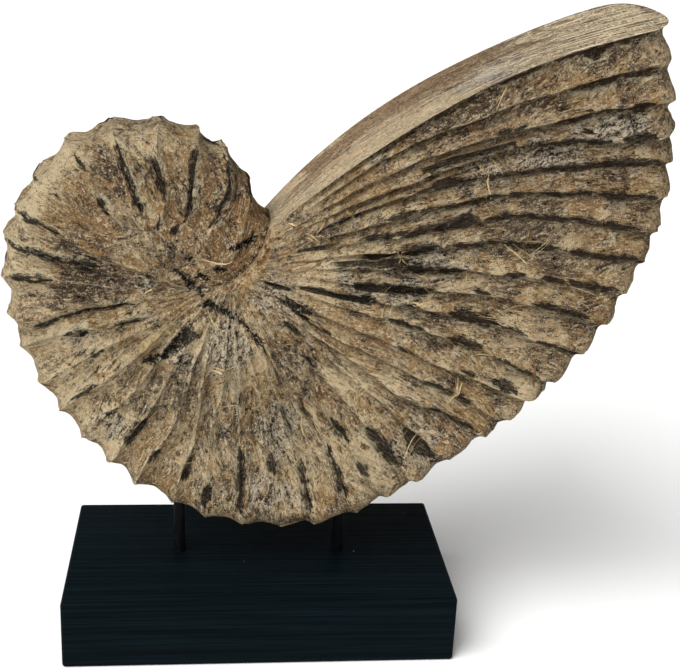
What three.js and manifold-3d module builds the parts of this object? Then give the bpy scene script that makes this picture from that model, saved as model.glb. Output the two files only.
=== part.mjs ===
// A nautilus shell carved from one piece of wood, held by two metal rods over a painted stand block.
// Millimetres, +Z up, +X to the right of the front view, and the front looks along -Y.
// The origin is the middle of the stand block's underside.
import * as THREE from 'three';
import { mergeVertices } from 'three/addons/utils/BufferGeometryUtils.js';
import { RoundedBoxGeometry } from 'three/addons/geometries/RoundedBoxGeometry.js';
import Module from 'manifold-3d';

const wasm = await Module();
wasm.setup();

// Stand block
const BLOCK_WIDTH = 190;
const BLOCK_DEPTH = 100;
const BLOCK_HEIGHT = 35;
const BLOCK_EDGE_RADIUS = 1.5;
const BLOCK_EDGE_STEPS = 2;

// Rods, which sit in drilled holes in the block and in the shell
const ROD_RADIUS = 3;
const ROD_SIDES = 24;
const ROD_HALF_SPACING = 40.5;
const ROD_DEPTH_IN_BLOCK = 20;
const LEFT_ROD_TOP = 88;
const RIGHT_ROD_TOP = 84;
const HOLE_GAP = 0.3;

// Shell rim seen from the front, as x and z, from the notch over the top, left, bottom and right to the lip
const RIM_KNOTS = [
  [0.5, 213.5], [-17.5, 242.5], [-52, 256], [-95, 244.5], [-121, 198], [-115, 151],
  [-89, 104.5], [-43.5, 67.5], [8.5, 56], [52, 67], [105, 103.5], [153, 153],
  [181.5, 212.5], [183.5, 261], [173.5, 311],
];
const SHELL_CENTRE = [-46, 184];
const RIB_COUNT = 41;
// The ribs stand at nearly even steps along the rim, shifted by these shares of its length at each tenth
const RIB_SHIFTS = [0, 0.002, 0.0124, 0.0075, 0.0125, 0.019, 0.026, 0.0262, 0.0215, 0.0122, 0];

// The ribs start on the seam between the inner and the outer whorl, and the first few at the centre
const CENTRE_SHARE = 0.15;
const SEAM_SPREAD = 0.7;
const SEAM_END = 0.96;
const LIP_BEND = 14.5;
const LIP_BEND_FROM = 0.72;
const LIP_BEND_TO = 0.92;
const SEAM_BEND = -14;
const SEAM_BEND_TO = 0.1;

// The lip's outer end is twisted a little, with its back edge higher: rise for each step backwards
const LIP_TWIST = 0.06;
const TWIST_FROM = 90;
const TWIST_TO = 170;

// Half thickness of the shell
const CENTRE_HALF = 21;
const LIP_ROOT_HALF = 22;
const OUTER_SEAM_BULGE = 2.5;
const INNER_SEAM_BULGE = -2.5;
const SEAM_BULGE_POWER = 2.5;
const INNER_HALF = 25;
const LIP_HALF = 37.5;
const CROWN_FROM = 0.3;
const CROWN_TO = 0.9;
const FACE_RISE_SPAN = 0.5;
const FACE_RISE_POWER = 2.5;

// Rounded shoulder between the face and the rim
const SHOULDER_AT_NOTCH = 12;
const SHOULDER_AT_LIP = 17;
const SHOULDER_CURVE = 0.8;

// Flutes between the ribs
const FLUTE_DEPTH = 3.2;
const FLUTE_FADE_FROM = 8;
const FLUTE_FADE_TO = 45;
const SHINGLE_FROM = 0.45;
const SHINGLE_TO = 0.75;
const FLUTE_SKEW = 1.3;

// Mesh steps
const FACE_ROWS = 7;
const SHOULDER_ROWS = 5;
const FLUTE_STEPS = [0, 0.37, 0.72];
const MERGE_DISTANCE = 0.0001;

const WOOD = new THREE.MeshStandardMaterial({ color: 0xb39a72, roughness: 0.8, metalness: 0 });
const BLACK_METAL = new THREE.MeshStandardMaterial({ color: 0x101214, roughness: 0.45, metalness: 0.6 });
const BLACK_PAINT = new THREE.MeshStandardMaterial({ color: 0x12181c, roughness: 0.4, metalness: 0 });

const smooth = (value, from, to) => THREE.MathUtils.smoothstep(value, from, to);

const rimCurve = new THREE.CatmullRomCurve3(
  RIM_KNOTS.map(([x, z]) => new THREE.Vector3(x, 0, z)), false, 'catmullrom', 0.5);
const centre = new THREE.Vector3(SHELL_CENTRE[0], 0, SHELL_CENTRE[1]);

// A rib in the front view: an arc from its root to the rim, bent sideways at its middle
function ribCurve(root, crest, bend) {
  const chord = crest.clone().sub(root);
  const side = new THREE.Vector3(-chord.z, 0, chord.x).normalize();
  const control = root.clone().add(crest).multiplyScalar(0.5).addScaledVector(side, 2 * bend);
  return new THREE.QuadraticBezierCurve3(root, control, crest);
}

const seamCurve = ribCurve(centre, rimCurve.getPointAt(0), SEAM_BEND);

// How far along the seam a rib has its root, from 0 at the centre to 1 at the lip
function seamShare(s) {
  const t = Math.max(0, (s - CENTRE_SHARE) / (1 - CENTRE_SHARE));
  return t + SEAM_SPREAD * Math.sin(2 * Math.PI * t) / (2 * Math.PI);
}

// Place on the rim, from 0 at the notch to 1 at the lip, for a count of ribs from the notch
function rimShare(ribs) {
  const even = ribs / RIB_COUNT;
  const tenth = Math.min(Math.floor(even * 10), 9);
  return even + THREE.MathUtils.lerp(RIB_SHIFTS[tenth], RIB_SHIFTS[tenth + 1], even * 10 - tenth);
}

function ribBend(s) {
  return LIP_BEND * smooth(s, LIP_BEND_FROM, LIP_BEND_TO) + SEAM_BEND * (1 - smooth(s, 0, SEAM_BEND_TO));
}

// Half thickness along the seam, on the outer whorl's side and on the inner whorl's side
function seamHalf(share, bulge) {
  return CENTRE_HALF + (LIP_ROOT_HALF - CENTRE_HALF) * share
    + bulge * Math.sin(Math.PI * share ** SEAM_BULGE_POWER);
}

function crownHalf(s) {
  return INNER_HALF + (LIP_HALF - INNER_HALF) * smooth(s, CROWN_FROM, CROWN_TO);
}

// Half thickness of the face on the rib line s, at the share v of the way from its root to the rim
function faceHalf(s, v) {
  const rise = 1 - (1 - Math.min(v / FACE_RISE_SPAN, 1)) ** FACE_RISE_POWER;
  const root = seamHalf(seamShare(s), OUTER_SEAM_BULGE);
  const open = root + (crownHalf(s) - root) * rise;
  const tucked = seamHalf(v, INNER_SEAM_BULGE);
  return tucked + (open - tucked) * smooth(s, 0, SEAM_BEND_TO);
}

// Depth of a flute at the share t of the way from one crest to the next. On the right side it is
// deepest just below the upper crest, so that the ribs overlap like shingles.
function fluteDepth(s, t, distance) {
  const skew = 1 + FLUTE_SKEW * smooth(s, SHINGLE_FROM, SHINGLE_TO);
  const hollow = Math.sin(Math.PI * t ** skew);
  return FLUTE_DEPTH * hollow * smooth(distance, FLUTE_FADE_FROM, FLUTE_FADE_TO);
}

// One line of the front surface, from its root on the seam to the middle of the rim
function surfaceLine(s, t) {
  const crest = rimCurve.getPointAt(s);
  const tangent = rimCurve.getTangentAt(s);
  const outward = new THREE.Vector3(tangent.z, 0, -tangent.x);
  outward.multiplyScalar(Math.sign(outward.dot(crest.clone().sub(centre))));
  const root = seamCurve.getPoint(SEAM_END * seamShare(s));
  const curve = ribCurve(root, crest, ribBend(s));
  const length = root.distanceTo(crest);
  const shoulder = THREE.MathUtils.lerp(SHOULDER_AT_NOTCH, SHOULDER_AT_LIP, s);
  const shoulderStart = 1 - shoulder / length;
  const rows = [];
  for (let row = 0; row < FACE_ROWS; row += 1) {
    rows.push([shoulderStart * row / FACE_ROWS, Math.PI / 2]);
  }
  for (let row = 0; row < SHOULDER_ROWS; row += 1) {
    const angle = Math.PI / 2 * (1 - row / SHOULDER_ROWS);
    rows.push([1 - shoulder * (1 - Math.cos(angle) ** SHOULDER_CURVE) / length, angle]);
  }
  rows.push([1, 0]);
  return rows.map(([v, angle]) => {
    const depth = fluteDepth(s, t, v * length);
    const half = faceHalf(s, v) * Math.sin(angle) ** SHOULDER_CURVE - depth * Math.sin(angle);
    const point = curve.getPoint(v).addScaledVector(outward, -depth * Math.cos(angle));
    return new THREE.Vector3(point.x, -half, point.z);
  });
}

const mirrored = (line) => line.map(({ x, y, z }) => new THREE.Vector3(x, -y, z));

const twisted = ({ x, y, z }) => new THREE.Vector3(x, y, z + LIP_TWIST * y * smooth(x, TWIST_FROM, TWIST_TO));

// Triangles between two lines that run the same way. Each line's places are numbers that rise along it,
// and the triangles step forward on the line that lags.
function stitch(lineA, placesA, lineB, placesB, addTriangle) {
  let a = 0;
  let b = 0;
  while (a < lineA.length - 1 || b < lineB.length - 1) {
    const stepA = b === lineB.length - 1 || (a < lineA.length - 1 && placesA[a + 1] <= placesB[b + 1]);
    if (stepA) {
      addTriangle(lineA[a], lineA[a + 1], lineB[b]);
      a += 1;
    } else {
      addTriangle(lineA[a], lineB[b + 1], lineB[b]);
      b += 1;
    }
  }
}

// The whole shell as one closed surface: the two fluted sides, the flat face of the lip,
// and the small ledge where the outer whorl begins along the seam
function shellGeometry() {
  const shares = [];
  for (let rib = 0; rib < RIB_COUNT; rib += 1) {
    FLUTE_STEPS.forEach((t) => shares.push([rimShare(rib + t), t]));
  }
  shares.push([1, 0]);
  const front = shares.map(([s, t]) => surfaceLine(s, t));
  const back = front.map(mirrored);
  const corners = [];
  const addTriangle = (p, q, r) => corners.push(p, q, r);
  const places = front[0].map((point, row) => row);
  for (let column = 1; column < front.length; column += 1) {
    stitch(front[column - 1], places, front[column], places, addTriangle);
    stitch(back[column], places, back[column - 1], places, addTriangle);
  }
  const lip = front.length - 1;
  stitch(front[lip], places, back[lip], places, addTriangle);

  const roots = front.map((line) => line[0]);
  const rootPlaces = shares.map(([s]) => seamShare(s));
  const outerEdge = [...roots, ...mirrored(roots).reverse()];
  const outerPlaces = [...rootPlaces, ...rootPlaces.map((place) => 2 - place).reverse()];
  const edgePlaces = front[0].map((point, row) => Math.min(1, row / (FACE_ROWS + 1)));
  const innerEdge = [...front[0], ...back[0].slice(0, -1).reverse()];
  const innerPlaces = [...edgePlaces, ...edgePlaces.slice(0, -1).map((place) => 2 - place).reverse()];
  stitch(outerEdge, outerPlaces, innerEdge, innerPlaces, addTriangle);
  return closedGeometry(corners.map(twisted));
}

// A geometry with shared corners, without the triangles that have two corners in one place
function closedGeometry(corners) {
  const loose = new THREE.BufferGeometry().setFromPoints(corners);
  const merged = mergeVertices(loose, MERGE_DISTANCE);
  const index = merged.getIndex().array;
  const kept = [];
  for (let i = 0; i < index.length; i += 3) {
    const [p, q, r] = [index[i], index[i + 1], index[i + 2]];
    if (p !== q && q !== r && r !== p) kept.push(p, q, r);
  }
  merged.setIndex(kept);
  return merged;
}

function toSolid(geometry) {
  const bare = geometry.clone();
  bare.deleteAttribute('normal');
  bare.deleteAttribute('uv');
  const merged = mergeVertices(bare, MERGE_DISTANCE);
  return new wasm.Manifold(new wasm.Mesh({
    numProp: 3,
    vertProperties: new Float32Array(merged.attributes.position.array),
    triVerts: new Uint32Array(merged.getIndex().array),
  }));
}

function fromSolid(solid) {
  const mesh = solid.getMesh();
  const geometry = new THREE.BufferGeometry();
  geometry.setAttribute('position', new THREE.BufferAttribute(mesh.vertProperties, 3));
  geometry.setIndex(new THREE.BufferAttribute(mesh.triVerts, 1));
  geometry.computeVertexNormals();
  return geometry;
}

// An upright round bar between two heights
function upright(x, bottom, top, radius) {
  const bar = new THREE.CylinderGeometry(radius, radius, top - bottom, ROD_SIDES);
  return bar.rotateX(Math.PI / 2).translate(x, 0, (top + bottom) / 2);
}

const RODS = [
  { name: 'left_rod', x: -ROD_HALF_SPACING, top: LEFT_ROD_TOP },
  { name: 'right_rod', x: ROD_HALF_SPACING, top: RIGHT_ROD_TOP },
];
const ROD_BOTTOM = BLOCK_HEIGHT - ROD_DEPTH_IN_BLOCK;

function drill(solid) {
  return RODS.reduce((body, { x, top }) => {
    const hole = upright(x, ROD_BOTTOM - HOLE_GAP, top + HOLE_GAP, ROD_RADIUS + HOLE_GAP);
    return body.subtract(toSolid(hole));
  }, solid);
}

function blockGeometry() {
  const box = new RoundedBoxGeometry(BLOCK_WIDTH, BLOCK_DEPTH, BLOCK_HEIGHT, BLOCK_EDGE_STEPS, BLOCK_EDGE_RADIUS);
  return box.translate(0, 0, BLOCK_HEIGHT / 2);
}

function addPiece(group, name, geometry, material) {
  const mesh = new THREE.Mesh(geometry, material);
  mesh.name = name;
  group.add(mesh);
}

const ornament = new THREE.Group();
addPiece(ornament, 'shell', fromSolid(drill(toSolid(shellGeometry()))), WOOD);
addPiece(ornament, 'stand_block', fromSolid(drill(toSolid(blockGeometry()))), BLACK_PAINT);
RODS.forEach(({ name, x, top }) => {
  addPiece(ornament, name, upright(x, ROD_BOTTOM, top, ROD_RADIUS), BLACK_METAL);
});

export default ornament;
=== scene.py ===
# A carved wooden nautilus shell on a black stand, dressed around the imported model.
# The shell's shape is worked out in millimetres, with the front looking along -Y, and stored in metres.
import math

import bmesh
import bpy
import numpy as np
from mathutils import Matrix, Vector


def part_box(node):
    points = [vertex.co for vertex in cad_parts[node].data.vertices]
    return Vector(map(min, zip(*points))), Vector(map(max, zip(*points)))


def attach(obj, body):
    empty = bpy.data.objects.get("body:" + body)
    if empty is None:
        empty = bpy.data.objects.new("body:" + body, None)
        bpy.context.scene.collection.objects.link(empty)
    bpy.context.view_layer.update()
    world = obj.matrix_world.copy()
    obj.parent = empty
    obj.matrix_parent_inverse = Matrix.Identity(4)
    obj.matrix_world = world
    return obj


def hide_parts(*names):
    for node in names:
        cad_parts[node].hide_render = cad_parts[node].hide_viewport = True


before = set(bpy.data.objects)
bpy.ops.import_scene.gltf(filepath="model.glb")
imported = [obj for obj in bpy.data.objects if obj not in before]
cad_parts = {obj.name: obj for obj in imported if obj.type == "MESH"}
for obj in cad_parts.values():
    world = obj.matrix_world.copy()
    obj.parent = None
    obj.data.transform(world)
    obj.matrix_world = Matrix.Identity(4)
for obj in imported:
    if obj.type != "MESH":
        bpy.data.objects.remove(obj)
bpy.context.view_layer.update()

MM = 0.001

# Camera, at the photograph's viewing angle
CAMERA_PLACE = (-0.027884, -0.546599, 0.350929)
CAMERA_YAW, CAMERA_PITCH, CAMERA_ROLL = np.radians((6.7316, 19.782, 2.8761))
CAMERA_LENS = 63.697
CAMERA_SENSOR = 36.0

# Stand block and rods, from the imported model
BLOCK_LOW, BLOCK_HIGH = [np.array(corner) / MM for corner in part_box("stand_block")]
BLOCK_EDGE_RADIUS = 1.6
BLOCK_EDGE_STEPS = 5
ROD_NAMES = ("left_rod", "right_rod")
ROD_SIDES = 48
ROD_CHAMFER = 0.4
HOLE_GAP = 0.3
HOLE_CHAMFER = 0.2

# Shell rim seen from the front, as x and z, from the notch over the top, left, bottom and right to the lip
RIM_KNOTS = [
    (0.5, 213.5), (-17.5, 242.5), (-52, 256), (-95, 244.5), (-121, 198), (-115, 151),
    (-89, 104.5), (-43.5, 67.5), (8.5, 56), (52, 67), (105, 103.5), (153, 153),
    (181.5, 212.5), (183.5, 261), (173.5, 311),
]
SHELL_CENTRE = (-46, 184)
SHELL_MIDDLE = (0, 0, 184)
RIB_COUNT = 41
RIB_WANDER = 0.3
RIB_SHIFTS = (0, 0.002, 0.0124, 0.0075, 0.0125, 0.019, 0.026, 0.0262, 0.0215, 0.0122, 0)

# Rib roots along the seam, and the sideways bend of the ribs
CENTRE_SHARE = 0.15
SEAM_SPREAD = 0.7
SEAM_END = 0.96
LIP_BEND = 14.5
LIP_BEND_SPAN = (0.72, 0.92)
SEAM_BEND = -14
SEAM_BEND_SPAN = (0, 0.1)

# Half thickness of the shell
CENTRE_HALF = 21
LIP_ROOT_HALF = 22
OUTER_SEAM_BULGE = 2.5
INNER_SEAM_BULGE = -2.5
SEAM_BULGE_POWER = 2.5
INNER_HALF = 25
LIP_HALF = 37.5
CROWN_SPAN = (0.3, 0.9)
FACE_RISE_SPAN = 0.5
FACE_RISE_POWER = 2.5
SHOULDER_AT_NOTCH = 12
SHOULDER_AT_LIP = 17
SHOULDER_CURVE = 0.8
SEAM_BEAD = 1.3
LIP_TWIST = 0.06
TWIST_SPAN = (90, 170)

# Flutes between the ribs
FLUTE_DEPTH = 3.3
FLUTE_UNEVENNESS = 0.35
FLUTE_FULLNESS = 0.85
FLUTE_FADE = (12, 52)
SHINGLE_SPAN = (0.45, 0.75)
FLUTE_SKEW = 1.6
FLUTE_STEPS = (0, 0.07, 0.16, 0.27, 0.39, 0.51, 0.62, 0.72, 0.8, 0.87, 0.93, 0.975)
FACE_ROWS = 60
SHOULDER_ROWS = 20
LIP_STEPS = (0, 0.012, 0.03, 0.07, 0.13, 0.2, 0.3, 0.4, 0.5)
EDGE_SHARE = 0.9

# Marks of the carving and of age: size across, and height or depth, in mm
LUMP_SIZE, LUMP_HEIGHT = 22, 0.9
GROOVE_LENGTH, GROOVE_DEPTH = 9, 0.45
PIT_SIZE, PIT_DEPTH = 3.2, 0.9
CHIP_SIZE, CHIP_DEPTH = 6, 1.6
RAGGED_SIZE, RAGGED_REACH = 3, 0.9

# Black strokes on the front: number of the crest, then for each stroke, in mm, where it starts and ends
# along the crest, its half width, and how far it lies beside the crest, towards the next one if positive
STROKES = (
    (1, (52, 72, 2.6, -1)), (2, (30, 66, 0.9, 1)), (3, (22, 30, 2.2, 3), (28, 68, 0.9, 1.2)),
    (4, (24, 34, 0.8, 1), (38, 60, 2, 0.6)), (5, (35, 71, 1.1, 0), (34, 42, 1.8, -2)),
    (6, (60, 74, 0.7, 0), (40, 52, 1.6, 0.6)), (7, (72, 86, 0.6, 0), (62, 67, 0.8, 1)),
    (8, (56, 84, 0.8, -0.6), (30, 50, 0.5, 4)), (9, (40, 86, 0.8, -0.6)), (10, (62, 86, 1.3, -0.8)),
    (11, (30, 82, 0.5, 3)), (12, (54, 70, 1.4, 1), (30, 50, 0.5, 2.5)),
    (13, (78, 86, 1.3, 0), (56, 68, 1.4, 1)), (14, (70, 88, 1, 0)), (15, (74, 90, 1, 1)),
    (16, (72, 92, 1.7, 1)), (17, (84, 96, 1.5, 1.5)), (18, (84, 102, 1.6, 2)), (19, (98, 114, 1.8, 1.5)),
    (20, (50, 62, 0.8, 0), (78, 118, 1.5, 0.5)), (21, (84, 99, 2, 0), (88, 99, 1.3, -7)),
    (22, (60, 82, 0.7, 0), (90, 122, 1.7, 0.4)),
    (23, (30, 43, 1, -2), (62, 86, 0.8, 0), (88, 122, 1.5, 0.8)),
    (24, (78, 96, 2.6, 2.5), (104, 118, 1.4, 0)), (25, (92, 122, 2.6, 0), (42, 56, 0.8, 0)),
    (26, (26, 42, 1.2, 0), (106, 130, 2.6, -3)), (27, (104, 138, 1.1, 1)),
    (28, (28, 50, 1, 0), (96, 128, 1.5, 0)),
    (29, (76, 90, 0.8, 0), (108, 122, 0.9, 2), (124, 142, 2.4, 3)),
    (30, (8, 24, 1, 0), (66, 88, 1.2, 0), (96, 117, 3, 0), (119, 148, 1, 0)),
    (31, (24, 62, 1.8, -1), (70, 82, 1.1, 0), (92, 119, 3, 1), (119, 134, 1.4, 0), (136, 162, 1, 0)),
    (32, (46, 86, 2.4, -1), (100, 112, 0.9, 1), (128, 160, 2, 1)),
    (33, (34, 74, 2.4, 3), (66, 98, 1.7, -1), (112, 126, 1.5, 0), (130, 170, 1.5, 0)),
    (34, (46, 62, 2.6, -3), (62, 84, 2.6, 0), (84, 140, 1.2, 0), (140, 180, 1.6, 0)),
    (35, (16, 40, 0.7, 1), (44, 66, 1.3, 1), (62, 102, 2.4, 1), (100, 176, 1.1, 0.5)),
    (36, (58, 74, 1.9, 1), (70, 184, 0.9, 0), (110, 124, 1.6, 0), (152, 172, 1.5, 0.5)),
    (37, (70, 188, 0.9, 0), (76, 102, 1.5, 1), (152, 180, 1.8, 0.5)),
    (38, (75, 121, 2.4, 4), (116, 164, 0.8, 0), (166, 184, 2, 1)),
    (39, (110, 128, 0.9, 1), (132, 172, 0.6, -1.2), (170, 184, 2.5, -1.5)), (40, (146, 188, 0.8, -2)),
    (41, (116, 140, 0.6, -1.6), (154, 170, 2, -3), (142, 190, 0.6, -1)),
)

# Stains on the front: kind, then for each the place in ribs and in mm along the rib, the reach in ribs and
# in mm, and the strength
STAINS = (
    ("violet", (5.4, 58, 0.4, 9, 1), (9.1, 36, 1.1, 20, 1), (10.4, 50, 0.6, 14, 0.9),
        (8.6, 76, 0.4, 6, 0.8), (1.4, 62, 0.5, 14, 0.9), (2.5, 66, 0.4, 9, 0.9)),
    ("warm", (40.4, 140, 1.4, 40, 0.4)),
    ("pale", (8.5, 80, 4.5, 14, 1.3)),
    ("violet", (40.3, 100, 0.6, 26, 1), (39.5, 92, 0.4, 14, 0.8), (36.4, 34, 0.9, 18, 0.9),
        (40.5, 166, 0.5, 16, 0.7), (38.5, 172, 0.4, 12, 0.9), (36.5, 160, 0.4, 11, 0.8),
        (35.4, 128, 0.3, 9, 0.8), (34.5, 120, 0.4, 16, 0.8), (33.5, 134, 0.4, 18, 0.7),
        (30.5, 86, 0.4, 14, 0.9), (29.5, 90, 0.4, 14, 0.9), (28.5, 104, 0.4, 14, 0.6),
        (24, 48, 1.6, 16, 0.7), (26.4, 62, 0.6, 10, 0.7), (17, 48, 1.2, 16, 0.6)),
    ("pepper", (19.5, 28, 2.6, 16, 1), (16.5, 40, 1.6, 14, 0.8), (21.5, 72, 1.4, 12, 0.8),
        (28, 14, 4.5, 16, 0.8), (33.5, 88, 1.2, 24, 0.7), (37.5, 118, 1.2, 24, 0.7),
        (38.4, 160, 0.8, 22, 0.8), (20.8, 108, 1, 10, 0.7), (25.5, 118, 0.9, 14, 0.8),
        (31.5, 60, 1.4, 22, 0.7), (15.5, 84, 0.9, 8, 0.7), (12.5, 66, 0.7, 10, 0.6)),
    ("pale", (9, 84, 7, 9, 0.8), (16, 90, 5, 12, 0.6), (5, 68, 2, 12, 0.6),
        (27.5, 78, 3, 26, 0.8), (32, 30, 2.6, 16, 0.9), (22, 96, 3, 20, 0.6),
        (30.5, 134, 2, 18, 0.5), (37.6, 62, 1.4, 16, 0.8), (20, 34, 3, 14, 0.6)),
    ("warm", (1.6, 34, 2.4, 36, 1.4), (6.8, 44, 1.8, 22, 1.1), (10.8, 80, 0.7, 9, 1),
        (38.5, 64, 1.6, 20, 0.7), (28.6, 66, 1.2, 18, 0.9), (26.5, 130, 0.9, 12, 0.9),
        (24.6, 70, 0.8, 14, 0.7), (36.5, 132, 0.4, 20, 0.9), (31.6, 96, 0.5, 12, 0.9),
        (39.5, 112, 0.6, 16, 0.6), (12.4, 40, 0.9, 14, 0.6), (34.5, 152, 0.8, 16, 0.6),
        (33, 166, 2.4, 10, 0.6), (16.6, 92, 0.7, 8, 0.6), (22.6, 84, 0.5, 9, 0.6)),
)
STAIN_KINDS = ("violet", "pepper", "pale", "warm")
# Half width where no stroke is, length of a stroke's pointed ends, and the shortest stroke, in mm
NO_INK = -1.8
STROKE_POINT = 6
STROKE_SHORTEST = 8
# How far the back's marks are moved, in ribs, and their new share of the distance along the rib
BACK_SHIFT = (5, 17)
BACK_STRETCH = (0.75, 1.05)

# Black marks that cross the ribs, on the front only: both ends as x and z, and the half width at each, in mm
CRACKS = (
    ((-57, 146), (-46, 151), 0.6, 1.6), ((-48, 150), (-34, 163), 1.4, 3.6),
    ((-43, 191), (-37, 187), 0.5, 0.9), ((-37, 187), (-30, 180), 1, 0.6),
    ((-19, 200.5), (-8, 203), 0.5, 1.2), ((-9, 202), (-7, 206), 1.3, 0.6), ((7, 180), (19, 173), 1.2, 2.6),
    ((-28, 176), (-16, 171), 1, 0.6), ((-32, 189), (-27, 187), 0.9, 0.5),
    ((-24, 192), (-20, 190.5), 0.7, 0.4), ((-38, 197), (-33, 195), 0.7, 0.4),
    ((-12, 168), (-3, 158), 0.5, 0.9),
)
# The pale ledge above the largest of these marks
LEDGE = ((-57, 153), (-43, 166), 2.4, 1.6)
# Where the strips of bark fan out from, as x and z, and the size of a strip in mm
FAN_CENTRE = (-14, 188)
STRIP_SIZE = 17

# Depth of the strokes and marks, and height of the ledge, in mm
STROKE_CUT = 0.9
CRACK_CUT = 1.4
LEDGE_RISE = 1.0

# Loose fibres in bundles. A share of them is gathered round one place, given as mean and spread in ribs and
# in mm along the rib.
FIBRE_BUNDLES = 170
FIBRE_GATHERED = 0.35
GATHERED_RIBS = (34, 4)
GATHERED_ALONG = (95, 28)
FIBRE_ALONG = (12, 185)
FIBRE_STEP = 1.7
FIBRE_LEAST_STEPS = 5
FIBRE_HALF_WIDTH = (0.16, 0.34)
# How much the fibres of a bundle differ in ribs, in mm along the rib, in heading and in turn
FIBRE_SPREAD = (0.12, 2.2, 0.16, 0.02)

# What is joined and what counts as flat in a mesh, in metres
JOIN_DISTANCE = 2e-6
FLAT_DISTANCE = 1e-7
# Edges sharper than these degrees stay sharp when a piece is shaded smooth
SHELL_SHARP = 40
FIBRE_SHARP = 60
BLOCK_SHARP = 50
ROD_SHARP = 40

# Studio: a large soft light from above, in front and to the left, in a white room, on a floor in mm
SUN_DIRECTION = (0.5, 0.45, -0.74)
SUN_ANGLE = math.radians(50)
SUN_STRENGTH = 4.1
ROOM_LIGHT = 0.34
FLOOR_HALF = 8000


def smooth(value, span):
    """0 below the span, 1 above it, and smooth between them."""
    share = np.clip((value - span[0]) / (span[1] - span[0]), 0, 1)
    return share * share * (3 - 2 * share)


class Noise:
    """Smooth random values between -1 and 1 over space, from a small repeating lattice."""

    SIZE = 32

    def __init__(self, seed):
        self.lattice = np.random.default_rng(seed).uniform(-1, 1, (self.SIZE,) * 3)

    def __call__(self, points):
        cell = np.floor(points).astype(int)
        part = points - cell
        part = part * part * (3 - 2 * part)
        total = 0
        for corner in np.ndindex(2, 2, 2):
            index = (cell + corner) % self.SIZE
            weight = np.prod(np.where(corner, part, 1 - part), axis=-1)
            total = total + weight * self.lattice[index[..., 0], index[..., 1], index[..., 2]]
        return total

    def layers(self, points, count=3):
        return sum(0.5**level * self(points * 2**level + 7.3 * level) for level in range(count))


# The shell's shape

def rim_samples(count=4000):
    """Points along the rim, and each one's share of the rim's length."""
    knots = np.array(RIM_KNOTS, float)
    knots = np.vstack([2 * knots[0] - knots[1], knots, 2 * knots[-1] - knots[-2]])
    place = np.linspace(0, len(RIM_KNOTS) - 1, count)
    first = np.minimum(place.astype(int), len(RIM_KNOTS) - 2)
    t = (place - first)[:, None]
    before, start, end, after = (knots[first + step] for step in range(4))
    slope_start, slope_end = (end - before) / 2, (after - start) / 2
    square = -3 * start + 3 * end - 2 * slope_start - slope_end
    cube = 2 * start - 2 * end + slope_start + slope_end
    points = start + slope_start * t + square * t**2 + cube * t**3
    lengths = np.concatenate([[0], np.cumsum(np.linalg.norm(np.diff(points, axis=0), axis=1))])
    return points, lengths / lengths[-1]


RIM_POINTS, RIM_SHARES = rim_samples()


def rim_point(share):
    return np.stack([np.interp(share, RIM_SHARES, RIM_POINTS[:, axis]) for axis in (0, 1)], -1)


def rim_outward(share):
    step = 0.002
    ahead, behind = rim_point(np.minimum(share + step, 1)), rim_point(np.maximum(share - step, 0))
    along = (ahead - behind) / np.linalg.norm(ahead - behind, axis=-1, keepdims=True)
    return np.stack([along[..., 1], -along[..., 0]], -1)


def bent_line(root, crest, bend, v):
    chord = crest - root
    side = np.stack([-chord[..., 1], chord[..., 0]], -1)
    side = side / np.linalg.norm(side, axis=-1, keepdims=True)
    control = (root + crest) / 2 + side * 2 * bend[..., None]
    v = v[..., None]
    return (1 - v) ** 2 * root + 2 * v * (1 - v) * control + v**2 * crest


def seam_point(share):
    start = np.zeros_like(share)
    centre = np.array(SHELL_CENTRE, float) + start[..., None]
    return bent_line(centre, rim_point(start), SEAM_BEND + start, share)


def seam_share(s):
    t = np.maximum(0, (s - CENTRE_SHARE) / (1 - CENTRE_SHARE))
    return t + SEAM_SPREAD * np.sin(2 * np.pi * t) / (2 * np.pi)


def rim_share(ribs):
    even = ribs / RIB_COUNT
    return even + np.interp(even, np.linspace(0, 1, len(RIB_SHIFTS)), RIB_SHIFTS)


def rib_bend(s):
    return LIP_BEND * smooth(s, LIP_BEND_SPAN) + SEAM_BEND * (1 - smooth(s, SEAM_BEND_SPAN))


def seam_half(share, bulge):
    arch = np.sin(np.pi * np.clip(share, 0, 1) ** SEAM_BULGE_POWER)
    return CENTRE_HALF + (LIP_ROOT_HALF - CENTRE_HALF) * share + bulge * arch


def face_half(s, v):
    rise = 1 - (1 - np.minimum(v / FACE_RISE_SPAN, 1)) ** FACE_RISE_POWER
    crown = INNER_HALF + (LIP_HALF - INNER_HALF) * smooth(s, CROWN_SPAN)
    root = seam_half(seam_share(s), OUTER_SEAM_BULGE)
    open_half = root + (crown - root) * rise
    tucked = seam_half(v, INNER_SEAM_BULGE)
    return tucked + (open_half - tucked) * smooth(s, SEAM_BEND_SPAN)


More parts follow.
